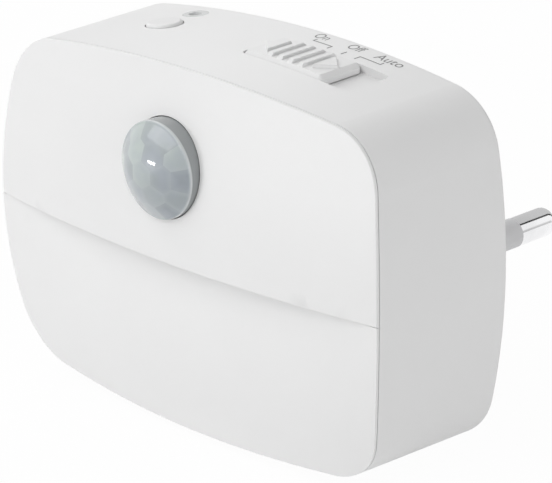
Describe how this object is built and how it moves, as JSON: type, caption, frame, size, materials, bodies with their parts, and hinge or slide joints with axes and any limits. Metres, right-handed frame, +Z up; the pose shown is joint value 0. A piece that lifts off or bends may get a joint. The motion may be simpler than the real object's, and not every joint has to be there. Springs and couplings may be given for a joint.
{
  "type": "plug in night light",
  "caption": "Plug-in night light: crowned white housing with a motion sensor lens, a translucent lower diffuser, a slide switch and a push button on top, and a two-pin mains plug behind.",
  "frame": {"origin": "midway between the two mains pins, on the plane where the stand-off pad rests on the socket's face", "axes": "+Y along the plug pins, away from the viewer of the front; +Z up; +X to the right seen from the front"},
  "size_m": [0.081, 0.0796, 0.0582],
  "materials": {
    "white_satin": "satin moulded",
    "knob_white": "satin moulded",
    "diffuser_opal": "frosted opal",
    "lens_milky": "milky translucent",
    "window_clear": "clear",
    "plated_pin": "nickel plated",
    "sleeve_grey": "smooth",
    "contact_brass": "rolled",
    "can_steel": "drawn",
    "filter_dark": "polished",
    "black_plastic": "moulded",
    "tinned_metal": "tinned",
    "photocell_red": "coated",
    "board_white": "solder mask",
    "led_cream": "potted",
    "reflector_white": "moulded",
    "board_green": "solder mask",
    "fuse_blue": "lacquered",
    "capacitor_red": "dipped",
    "capacitor_black": "sleeved",
    "screw_steel": "zinc plated"
  },
  "bodies": {
    "light": {"housing_shell": "white_satin", "front_panel": "white_satin", "diffuser": "diffuser_opal", "rear_cover": "white_satin", "plug_base": "white_satin", "plug_pin_left": "plated_pin", "plug_pin_right": "plated_pin", "pin_sleeve_left": "sleeve_grey", "pin_sleeve_right": "sleeve_grey", "contact_strip_left": "contact_brass", "contact_strip_right": "contact_brass", "sensor_lens": "lens_milky", "lens_retainer": "white_satin", "pir_can": "can_steel", "pir_window": "filter_dark", "pir_header": "can_steel", "pir_spacer": "black_plastic", "slide_switch_base": "black_plastic", "slide_switch_frame": "can_steel", "slide_switch_terminals": "tinned_metal", "tact_switch_body": "black_plastic", "tact_switch_cover": "can_steel", "light_sensor_window": "window_clear", "light_sensor": "photocell_red", "led_board": "board_white", "led_packages": "led_cream", "led_reflector": "reflector_white", "board_header": "black_plastic", "main_board": "board_green", "controller_chip": "black_plastic", "bridge_rectifier": "black_plastic", "fuse_resistor": "fuse_blue", "film_capacitor": "capacitor_red", "electrolytic_capacitor": "capacitor_black", "case_screws": "screw_steel", "board_screws": "screw_steel"},
    "slider": {"slide_knob": "knob_white", "slide_switch_actuator": "black_plastic", "slide_switch_contact": "contact_brass"},
    "button": {"brightness_button": "knob_white", "tact_switch_plunger": "black_plastic"}
  },
  "joints": [
    {"name": "mode_slide", "type": "slide", "parent": "light", "child": "slider", "axis": [1, 0, 0], "range_m": [0, 0.0052]},
    {"name": "brightness_press", "type": "slide", "parent": "light", "child": "button", "axis": [0, 0, -1], "range_m": [0, 0.0004], "stiffness_N_per_m": 800}
  ]
}
